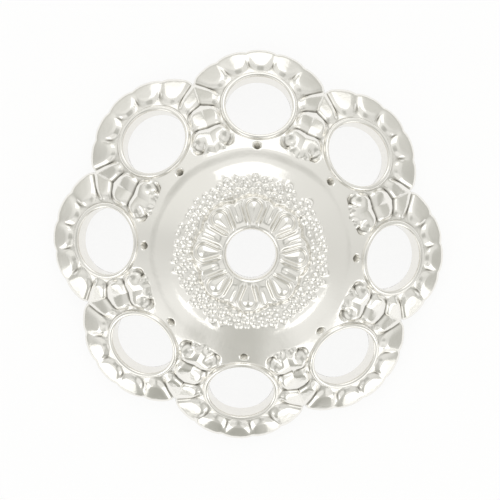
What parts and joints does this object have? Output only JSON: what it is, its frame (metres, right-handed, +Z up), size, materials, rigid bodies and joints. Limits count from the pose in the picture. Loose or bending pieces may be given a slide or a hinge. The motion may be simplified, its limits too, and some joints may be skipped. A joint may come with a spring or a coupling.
{
  "type": "bead cap",
  "caption": "Domed, pierced bead cap with cupped petals, a granulated rosette and a central wire bore.",
  "frame": {"origin": "middle of the footprint, on the surface that the petal tips stand on", "axes": "+Z up along the bore, out of the dome; +X and +Y each through the middle of a petal"},
  "size_m": [0.01, 0.01, 0.0023],
  "materials": {
    "silver_plate": "bright silver plate over brass, softly polished"
  },
  "bodies": {
    "root": {"cap": "silver_plate"}
  },
  "joints": []
}
